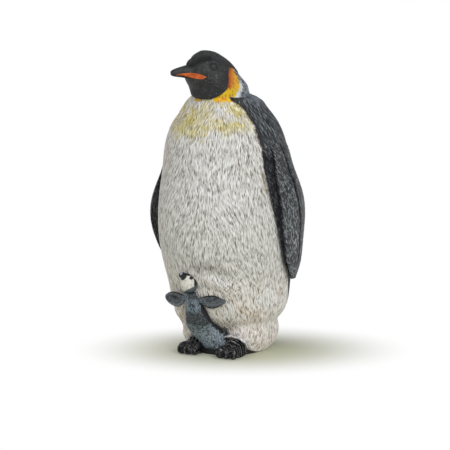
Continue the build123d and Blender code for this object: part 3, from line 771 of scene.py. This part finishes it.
def hood_paint():
    """Matte black hood, orange bill stripe, rust to yellow ear patch and slate nape."""
    paint = Paint("hood")
    # The black lightens with height: a painted highlight on the crown
    black = paint.ramp(
        paint.blend((paint.noise(1.6, 6), 0.9), ("height", 0.025)),
        (0.3, (0.009, 0.01, 0.01)),
        (0.58, (0.021, 0.022, 0.023)),
        (0.86, (0.045, 0.048, 0.05)),
    )
    black = paint.mix(
        black,
        (paint.product(paint.step(paint.noise(0.4, 0), 0.72, 0.78), 0.5), (0.18, 0.18, 0.18)),
        # Painted shade darkens a ring round the eye, and the eye's lighter dome is a painted highlight
        (paint.step("eye", EYE_RADIUS + 0.6, EYE_RADIUS + 0.2, 0, 0.85), (0.004, 0.004, 0.004)),
        (paint.step("eye", EYE_RADIUS + 0.25, EYE_RADIUS + 0.1), (0.034, 0.036, 0.038)),
        # Painted shade in the furrow of the brow
        (paint.step("brow", 1.9, 0.5, 0, 0.85), (0.004, 0.004, 0.005)),
    )
    slate = paint.ramp(
        paint.sum("relief", paint.noise(0.6), 0.6),
        (0.35, (0.035, 0.042, 0.055)),
        (0.7, (0.1, 0.12, 0.145)),
        (1, (0.28, 0.31, 0.35)),
    )
    white = paint.blend(("white", 1), (paint.noise(0.6), 0.6), ("relief", 0.5))
    slate = paint.mix(slate, (paint.step(white, 0.75, 1.25), (0.66, 0.69, 0.72)))
    golden = paint.ramp(
        paint.blend(("front", 0.16), (paint.noise(0.8), 0.22), ("relief", 0.12)),
        (0.14, (0.27, 0.035, 0.008)),
        (0.32, (0.5, 0.125, 0.02)),
        (0.46, (0.66, 0.28, 0.028)),
        (0.78, (0.8, 0.47, 0.045)),
    )
    golden = paint.mix(
        golden,
        (paint.step(paint.sum("height", paint.noise(1.1), 2), 4.4, 2.6), (0.74, 0.48, 0.02)),
        (paint.product(paint.step("relief", 0.45, 0.15), 0.6), (0.16, 0.07, 0.01)),
    )
    ear = paint.blend(("ear", 1), (paint.noise(0.6), 1), ("relief", 1.3))
    orange = paint.ramp(
        paint.noise(0.9, 3),
        (0.35, (0.42, 0.075, 0.015)),
        (0.65, (0.68, 0.16, 0.035)),
    )
    colour = paint.mix(
        black,
        (
            paint.step(paint.sum("bare", paint.noise(0.5), 0.5), 0.2, 0.36),
            paint.mix(slate, (paint.step(ear, 0.95, 1.25), golden)),
        ),
        (paint.step(paint.sum("stripe", paint.noise(0.35), 0.16), 0.06, 0.14), orange),
    )
    return paint.done(colour, paint.step("eye", EYE_RADIUS + 0.1, EYE_RADIUS + 0.3, 0.25, 0.55), 0.28)


# Flippers

FLIPPER_VOXEL = 0.16
# Gutter behind the leading edge: heights and share of the blade's width, half width and depth
GUTTER_LINE = (24, 40, 47, 55, 60), (0.05, 0.08, 0.12, 0.17, 0.23)
GUTTER_HALF_SHARE = 0.03
GUTTER_DEPTH = 0.45
# Ridge line down the blade and the lump of the elbow on it
RIDGE_SHARE = 0.54
RIDGE_DEPTH = 0.25
ELBOW_HEIGHT = 51.5
ELBOW_RISE = 0.45
# Below this height the blade is shortened by this share, which rounds its tip
TIP_HEIGHT = 27
TIP_CUT = 0.18
# The blade's upper end is laid this far into the shoulder
SHOULDER_SINK = 0.45


def blade_share(points):
    """Share of a blade's width from its leading edge, at each point."""
    _, y, z = points.T
    bands = np.round(z * 2).astype(int)
    bands -= bands.min()
    front, rear = edges_along(z, bands, np.arange(bands.max() + 1) / 2 + z.min(), y)
    return np.clip((y - front) / np.maximum(rear - front, 0.5), 0, 1)


def flipper(name, side, material):
    """A flipper: gutter behind its leading edge, ridge down its middle and short scale-like feathers."""
    node = f"{name}_flipper"
    points, quads, normals = remeshed(node, FLIPPER_VOXEL)
    height = points[:, 2]
    share = blade_share(points)
    outer = fade(0, 0.5, side * normals[:, 0] - 0.3 * normals[:, 1])
    lean = 0.25 + 0.45 * fade(44, 56, height)
    direction = np.stack([0 * lean, lean, 0 * lean - 1], axis=1)
    strokes = strokes_on_points(points, normals, direction, *FLIPPER_STROKES)
    from_gutter = share - np.interp(height, *GUTTER_LINE)
    below = fade(66, 58, height) * outer
    gutter = bump(from_gutter, GUTTER_HALF_SHARE) * below
    edge = 0.7 * fade(0, -0.02, from_gutter) * below
    ridge = bump(share - RIDGE_SHARE, GUTTER_HALF_SHARE) * outer * fade(22, 30, height)
    elbow = bump(height - ELBOW_HEIGHT, 1.6) * bump(share - RIDGE_SHARE - 0.08, 0.12) * outer
    depth = 0.12 * strokes - 0.13 - GUTTER_DEPTH * gutter - RIDGE_DEPTH * ridge + ELBOW_RISE * elbow
    points = points + depth[:, None] * normals
    height = points[:, 2]
    height += TIP_CUT * np.maximum(TIP_HEIGHT - height, 0)
    points[:, 0] -= side * (SHOULDER_SINK * fade(57, 63, height) + 0.3 * bump(height - 46, 12))
    # The blade's front half is a lighter grey, and the right flipper is lightened all over as painted
    # light, since the lamps leave it in shade
    lighter_front_and_painted_light = bump(share - 0.34, 0.18) * bump(height - 38, 12) * outer + 0.55 * (side < 0)
    paint = {"relief": strokes, "gutter": np.clip(gutter + ridge + edge, 0, 1), "lighter_front_and_painted_light": lighter_front_and_painted_light}
    piece(f"{node}_blade", points, quads, paint, material, node)


def flipper_paint():
    """Charcoal flippers with grey dry brushing, a lighter front half, painted light all over the right
    flipper, and a dull black gutter.
    """
    paint = Paint("flipper")
    relief = paint.sum(-0.26, "relief", 1.4)
    # The lighter front half and the painted light on the right flipper raise the grey
    colour = dark_plumage(paint, paint.sum(relief, "lighter_front_and_painted_light", 0.15))
    colour = paint.mix(colour, (paint.product("gutter", 0.92), (0.005, 0.005, 0.007)))
    return paint.done(colour, 0.45, paint.step("gutter", 0.1, 0.8, 0.5, 0.08))


# Feet and sole

FOOT_VOXEL = 0.11
FOOT_OFFSET = 6.2
# Distance between the lines on the feet
TENDON_PITCH = 1.05
WRINKLE_PITCH = 0.75
RING_PITCH = 0.85
ARC_PITCH = 1.6
# Pale feather tips over the left instep: x, y and z of the line they hang from, and their number
FRINGE_LINE = (3.4, 5.1, 7.6, 9.2, 10.1), (-7.4, -7.5, -7.7, -7.1, -5.7), (5, 5.6, 5.4, 4.2, 2.5)
FRINGE_COUNT = 70
ANKLE_CENTRE = np.array((7.4, 2, 0))


def waves(distance, pitch, shift=0):
    """Rounded lines at a pitch, from -1 in the grooves to 1 on the ridges."""
    return np.cos(2 * math.pi * distance / pitch + shift)


def foot(name, side, material):
    """A foot with wrinkled toes; wrinkles run over the left instep and ridges along the right one."""
    node = f"{name}_foot"
    points, quads, normals = remeshed(node, FOOT_VOXEL)
    strokes = strokes_on_points(points, normals, (0, -1, -0.4), *FOOT_STROKES)
    x, y, z = points.T
    across = side * x - FOOT_OFFSET
    over = fade(0, 0.35, normals[:, 2] - 0.4 * normals[:, 1])
    flank = fade(0.25, 0.7, side * normals[:, 0])
    toes = fade(-9.5, -11.5, y)
    wrinkles = waves(y + 0.25 * np.sin(2.2 * across), WRINKLE_PITCH)
    if side > 0:
        instep = waves(y + 0.2 * np.sin(1.6 * z) + 0.15 * np.sin(2.1 * across), ARC_PITCH)
        beside = 0.6 * instep
    else:
        instep = waves(across, TENDON_PITCH, 1.3 * np.sin(0.9 * y))
        beside = 0.3 * waves(z + 0.15 * np.sin(1.7 * y), RING_PITCH)
    lines = over * (1 - flank) * ((1 - toes) * instep + 0.5 * toes * wrinkles) + flank * beside
    depth = 0.21 * (lines - np.maximum(over, flank)) + 0.07 * (strokes - 1)
    points = points + depth[:, None] * normals
    points[:, 2] = np.maximum(points[:, 2], 0)
    # The ridges and strokes later turn grey as painted highlights, the grooves black
    paint = {"relief": np.clip(0.3 + 0.5 * lines + 0.32 * strokes, 0, 1)}
    piece(f"{node}_skin", points, quads, paint, material, node)


def foot_paint():
    """Black skin with shiny grey streaks on its ridges; the grey is painted highlight."""
    paint = Paint("foot")
    colour = paint.ramp(
        paint.blend(("relief", 0.7), (paint.noise(0.3), 0.12), (paint.noise(2), 0.18)),
        (0.36, (0.003, 0.003, 0.004)),
        (0.54, (0.009, 0.009, 0.011)),
        (0.66, (0.055, 0.055, 0.06)),
        (0.8, (0.34, 0.34, 0.36)),
    )
    return paint.done(colour, 0.3, paint.step("relief", 0.25, 0.75, 0.15, 0.65))


def fringe(material):
    """Pale feather tips of the left ankle that hang over the instep."""
    points, faces = [], []
    for way in np.linspace(0, 4, FRINGE_COUNT):
        root, after = (
            np.array([np.interp(place, range(5), line) for line in FRINGE_LINE])
            for place in (way, way + 0.2)
        )
        out = unit((root - ANKLE_CENTRE) * (1, 1, 0))
        ahead = 0.8 * unit(after - root + (1e-3, 0, 0)) + rng.uniform(0.2, 0.6) * out
        ahead = unit(ahead + (0, 0, -0.15))
        root = root + rng.uniform(-0.2, 0.9) * out + rng.normal(0, 0.12, 3)
        side = unit(np.cross(ahead, out))
        up = np.cross(side, ahead)
        size = rng.uniform(1.1, 2)
        start = len(points)
        for along, half in ((-0.3, 0.2), (0.5, 0.17)):
            middle = root + along * size * ahead + 0.12 * up
            points += [middle + half * side, middle + 0.1 * up, middle - half * side, middle - 0.1 * up]
        points.append(root + size * ahead)
        ring = [start + k for k in range(4)]
        faces.append(ring[::-1])
        for here, there in zip(ring, ring[1:] + ring[:1]):
            faces.append([here, there, there + 4, here + 4])
            faces.append([here + 4, there + 4, start + 8])
    shades = np.repeat(rng.uniform(0.4, 1, FRINGE_COUNT), len(points) // FRINGE_COUNT)
    paint = {"relief": shades, "dark": np.full(len(points), -9.0)}
    piece("instep_fringe", np.array(points), faces, paint, material)


def sole():
    """The sole plate keeps its CAD shape, in black."""
    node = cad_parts["sole_plate"]
    paint = Paint("sole")
    colour = paint.ramp(paint.noise(1, 3), (0.3, (0.006, 0.006, 0.007)), (0.7, (0.016, 0.016, 0.018)))
    node.data.materials.clear()
    node.data.materials.append(paint.done(colour, 0.55))


# Chick

CHICK_VOXEL = 0.11
LEAF_VOXEL = 0.85 * CHICK_VOXEL
CHICK_HEAD_VOXEL = 0.075
# The body's middle line and half width, seen from the front, at some heights
CHICK_HEIGHTS = (1.5, 6, 9, 13, 19)
CHICK_MIDDLES = (0.5, -1.36, -2.6, -3.2, -4)
CHICK_HALF_WIDTHS = (4, 4.7, 4.2, 3.2, 1.9)
# Direction and size of the belly's swell
CHICK_RIGHT = np.array((-0.91, -0.42, 0))
CHICK_SWELL = 1.2
# A flipper's edges are measured in this number of bands
LEAF_BANDS = 12
CHICK_FACING = math.radians(30)
CHICK_HEAD_CENTRE = np.array((-4, -17, 22.5))
BILL_RISE = math.radians(35)
BILL_LIFT = 0.6
# The eye: degrees from the bill, millimetres for a degree, height and radius
CHICK_EYE_ANGLE, CHICK_EYE_DEGREE = 70, 0.033
CHICK_EYE_HEIGHT, CHICK_EYE_RADIUS = 1.72, 0.5


def chick_body(material):
    """The chick's body in grey down, darker across its middle, with painted shadow down its left side and
    painted light on its lower belly.
    """
    points, quads, normals = remeshed("chick_body", CHICK_VOXEL)
    strokes = strokes_on_points(points, normals, (0.2, 0, -1), *CHICK_BODY_STROKES)
    points = points + (0.13 * strokes - 0.13)[:, None] * normals
    # The belly is fuller on its right
    swell = CHICK_SWELL * bump(points[:, 2] - 6.6, 3.4) * fade(-0.1, 0.9, normals @ CHICK_RIGHT)
    points = points + swell[:, None] * CHICK_RIGHT
    x, _, z = points.T
    middle, half = (np.interp(z, CHICK_HEIGHTS, line) for line in (CHICK_MIDDLES, CHICK_HALF_WIDTHS))
    aside = (x - middle) / half
    nape = 0.8 * fade(16.5, 18.5, z) * fade(-0.3, 0.4, aside)
    paint = {
        "relief": strokes,
        "band": 1.3 * bump(z - 11.6, 2) + nape + 0.5 * fade(3, 1.8, z),
        # Painted shadow in a strip down the left side
        "rim": fade(0.72, 1.1, aside) * fade(17, 14.5, z),
        # Painted light on the lower belly's swell
        "pale": bump(z - 6, 2.4),
    }
    piece("chick_down", points, quads, paint, material, "chick_body")


def chick_flipper(name, direction, cupped, material):
    """One of the chick's flippers: a leaf with a hollow middle and streaks outward, with painted shade in
    the hollow, painted shadow at the flatter leaf's root and a painted highlight on the cupped leaf's rims.
    """
    node = f"chick_{name}_flipper"
    points, quads, normals = remeshed(node, LEAF_VOXEL, 3)
    strokes = strokes_on_points(points, normals, direction, *CHICK_FLIPPER_STROKES)
    z = points[:, 2]
    out = points[:, 0] * direction[0]
    way = (out - out.min()) / (out.max() - out.min())
    bands = np.minimum((way * LEAF_BANDS).astype(int), LEAF_BANDS - 1)
    low, high = edges_along(way * LEAF_BANDS, bands, np.arange(LEAF_BANDS) + 0.5, z)
    above = (2 * z - low - high) / (high - low)
    from_middle = np.abs(above)
    front = fade(0.1, 0.6, -normals[:, 1])
    hollow = bump(above - 0.2 * cupped, 0.5) * bump(way - 0.6, 0.26) * front
    points = points + (0.12 * strokes - 0.12 - (0.2 + 0.45 * cupped) * hollow)[:, None] * normals
    # The lower edge rises to the root, and the flatter leaf is raised and comes to a point
    flat = 1 - cupped
    points[:, 2] += 0.45 * (high - z) * fade(0.5, 0.1, way)
    points[:, 2] += 0.8 * flat * (0.5 * (low + high) - z) * fade(0.6, 1, way)
    points[:, 2] += 0.7 * flat * bump(way - 0.6, 0.35)
    # Paint: painted shadow at the flatter leaf's root and deep in the cupped leaf's hollow, painted shade
    # darkening the hollow, dark edges, and a painted highlight on the cupped leaf's rims
    root = 0.8 * flat * fade(0.3, 0.1, way)
    core = 0.9 * cupped**3 * bump(above - 0.35, 0.28) * bump(way - 0.62, 0.2) * front
    edge = fade(0.5 + 0.3 * cupped, 0.85 + 0.1 * cupped, from_middle)
    paint = {
        "relief": strokes,
        "band": 0.42 + 1.2 * cupped * hollow + 0.5 * flat * from_middle,
        "rim": np.maximum(np.maximum(root, core), edge),
        "pale": 0.8 * cupped * bump(from_middle - 0.72, 0.14) * front,
    }
    piece(f"{node}_down", points, quads, paint, material, node)


def down_paint():
    """Blue-grey down with charcoal bands and black rims, which also carry painted shade and shadow, and
    lighter grey where painted light is set.
    """
    paint = Paint("down")
    grain = paint.blend(("relief", 0.66), (paint.noise(0.35), 0.16), (paint.noise(2.5), 0.18))
    # The grey is lightened by the pale value: painted light on the lower belly and painted highlight on the
    # cupped flipper's rims
    grey = paint.ramp(
        paint.sum(grain, "pale", 0.14),
        (0.2, (0.022, 0.029, 0.038)),
        (0.42, (0.077, 0.101, 0.127)),
        (0.62, (0.178, 0.224, 0.27)),
        (0.82, (0.4, 0.455, 0.51)),
    )
    charcoal = paint.ramp(
        grain,
        (0.25, (0.008, 0.009, 0.011)),
        (0.5, (0.034, 0.04, 0.048)),
        (0.8, (0.14, 0.16, 0.18)),
    )
    # Charcoal bands and black rims; they also carry painted shade in the flippers' hollows and painted
    # shadow down the chick's left side and at a flipper's root
    colour = paint.mix(
        grey,
        (paint.step(paint.sum("band", paint.noise(0.8), 0.8), 0.55, 1.1), charcoal),
        (paint.step(paint.sum("rim", paint.noise(0.7), 1.2), 0.95, 1.25), (0.01, 0.01, 0.012)),
    )
    return paint.done(colour, 0.6)


def chick_head():
    """The chick's head: cream face, black crown and nape, dark eyes and a black bill with a painted
    grey-blue highlight.
    """
    points, quads, normals = remeshed("chick_head", CHICK_HEAD_VOXEL)
    strokes = strokes_on_points(points, normals, (0, 0, -1), *CHICK_HEAD_STROKES)
    left, back, z = head_frame(points, CHICK_HEAD_CENTRE, CHICK_FACING)
    ahead = -back
    degrees = np.degrees(np.arctan2(np.abs(left), ahead))
    eye = np.hypot(CHICK_EYE_DEGREE * (degrees - CHICK_EYE_ANGLE), z - CHICK_EYE_HEIGHT)
    lifted = z - BILL_LIFT
    along = ahead * math.cos(BILL_RISE) + lifted * math.sin(BILL_RISE)
    rise = lifted * math.cos(BILL_RISE) - ahead * math.sin(BILL_RISE)
    crown = np.maximum(z - 2.22, 0.045 * (degrees - 86))
    depth = 0.05 * strokes - 0.05 + 0.1 * bump(eye, 0.4)
    paint = {
        "relief": strokes,
        "crown": np.maximum(crown, 0.75 * z - 0.66 * ahead - 1.48),
        "eye": CHICK_EYE_RADIUS - eye,
        "bill": np.minimum(along - 2.2, 1.75 - np.hypot(left, rise)),
        # A grey-blue disc on the bill, for its painted highlight
        "painted_bill_highlight": np.minimum(0.7 - np.hypot(left, rise - 0.3), along - 2.8),
        "chin": -1.5 - z + 0.02 * (degrees - 50),
    }
    points = points + depth[:, None] * normals
    piece("chick_face", points, quads, paint, chick_face_paint(), "chick_head")


def chick_face_paint():
    """Cream face with a black crown and bill, and a painted highlight on the bill."""
    paint = Paint("chick_face")
    cream = paint.ramp(
        paint.sum("relief", paint.noise(0.5), 0.6),
        (0.15, (0.48, 0.46, 0.42)),
        (0.6, (0.64, 0.62, 0.575)),
        (1, (0.78, 0.77, 0.74)),
    )
    dark = (0.008, 0.008, 0.01)
    # The bill's grey-blue disc is a painted highlight
    bill = paint.mix(dark, (paint.step("painted_bill_highlight", 0, 0.25), (0.34, 0.38, 0.43)))
    colour = paint.mix(
        cream,
        (paint.step(paint.sum("crown", paint.noise(0.4), 0.4), 0.16, 0.3), dark),
        (paint.step(paint.sum("chin", paint.noise(0.5), 0.6), 0.25, 0.55), (0.085, 0.105, 0.125)),
        (paint.step("eye", -0.02, 0.06), (0.004, 0.004, 0.004)),
        (paint.step("bill", 0, 0.15), bill),
    )
    return paint.done(colour, 0.5)


# Stage, light and camera

# Half the floor's side, in metres
FLOOR_REACH = 3
# The soft painted oval of shadow on the white floor: its middle, where it starts to fade and where it ends
SHADOW_PLACE = Vector((5.6, -1.6, 0))
SHADOW_DEPTH_SHARE = 0.62
SHADOW_INNER = 10
SHADOW_OUTER = 52
ROOM_LIGHT = 0.45


def floor():
    """A white floor, with a painted oval of soft greenish shadow that the figurine stands in; inside it the
    lamps light the floor and it keeps the figurine's own shadow.
    """
    mesh = bpy.data.meshes.new("floor")
    corners = [(x * FLOOR_REACH, y * FLOOR_REACH, 0) for x, y in ((-1, -1), (1, -1), (1, 1), (-1, 1))]
    mesh.from_pydata(corners, [], [(0, 1, 2, 3)])
    linked("floor", mesh)
    paint = Paint("floor")
    paint.done((0.62, 0.63, 0.48), 0.9, 0)
    oval = paint.node("Mapping", paint.place, vector_type="TEXTURE")
    oval.inputs["Location"].default_value = SHADOW_PLACE * MM
    oval.inputs["Rotation"].default_value = (0, 0, CAMERA_AZIMUTH)
    oval.inputs["Scale"].default_value = (1, SHADOW_DEPTH_SHARE, 1)
    away = paint.node("VectorMath", oval.outputs["Vector"], operation="LENGTH").outputs["Value"]
    outside = paint.step(away, SHADOW_INNER * MM, SHADOW_OUTER * MM)
    rays = paint.node("LightPath").outputs
    seen = paint.node("Math", rays["Is Camera Ray"], rays["Is Glossy Ray"], operation="MAXIMUM").outputs[0]
    glow = paint.node("Emission").outputs[0]
    blend = paint.node("MixShader", paint.product(outside, seen), paint.shader.outputs[0], glow)
    paint.put(paint.tree.nodes["Material Output"].inputs["Surface"], blend.outputs[0])
    mesh.materials.append(paint.material)


def aimed(obj, azimuth, elevation, distance):
    """Puts an object this many millimetres from the middle of the picture, looking at it."""
    flat = math.cos(elevation)
    away = Vector((math.sin(azimuth) * flat, -math.cos(azimuth) * flat, math.sin(elevation)))
    obj.location = (CAMERA_AIM + distance * away) * MM
    obj.rotation_mode = "QUATERNION"
    obj.rotation_quaternion = away.to_track_quat("Z", "Y")


def lamp(name, azimuth, elevation, distance, size, power):
    """A square soft lamp that looks at the figurine; angles in degrees, size in metres."""
    data = bpy.data.lights.new(name, "AREA")
    data.size = size
    data.energy = power
    aimed(linked(name, data), math.radians(azimuth), math.radians(elevation), distance)


def lights():
    """Soft studio light: a large key at the right, a fill at the left and an even white room."""
    lamp("key", azimuth=50, elevation=24, distance=800, size=0.45, power=3.2)
    lamp("fill", azimuth=-35, elevation=30, distance=900, size=0.6, power=1.6)
    world = bpy.data.worlds.new("room")
    bpy.context.scene.world = world
    world.use_nodes = True
    nodes, links = world.node_tree.nodes, world.node_tree.links
    room, seen = nodes["Background"], nodes.new("ShaderNodeBackground")
    for background in (room, seen):
        background.inputs["Color"].default_value = (1, 1, 1, 1)
    room.inputs["Strength"].default_value = ROOM_LIGHT
    blend = nodes.new("ShaderNodeMixShader")
    rays = nodes.new("ShaderNodeLightPath").outputs
    for index, source in enumerate((rays["Is Camera Ray"], room.outputs[0], seen.outputs[0])):
        links.new(source, blend.inputs[index])
    links.new(blend.outputs[0], nodes["World Output"].inputs["Surface"])


def camera():
    """The photograph's camera."""
    data = bpy.data.cameras.new("camera")
    data.sensor_width = SENSOR_WIDTH
    data.lens = SENSOR_WIDTH * CAMERA_DISTANCE / FRAME_WIDTH
    data.clip_start = 0.01
    data.clip_end = 20
    obj = linked("camera", data)
    aimed(obj, CAMERA_AZIMUTH, CAMERA_ELEVATION, CAMERA_DISTANCE)
    bpy.context.scene.camera = obj


feathers, blade, skin, fluff = plumage(), flipper_paint(), foot_paint(), down_paint()
head(*body(feathers))
for name, side in (("left", 1), ("right", -1)):
    flipper(name, side, blade)
    foot(name, side, skin)
fringe(feathers)
sole()
chick_body(fluff)
chick_head()
chick_flipper("left", (1, 0, 0.1), 0.4, fluff)
chick_flipper("right", (-1, 0, 0.1), 1.0, fluff)
floor()
lights()
camera()
bpy.context.scene.view_settings.view_transform = "Standard"
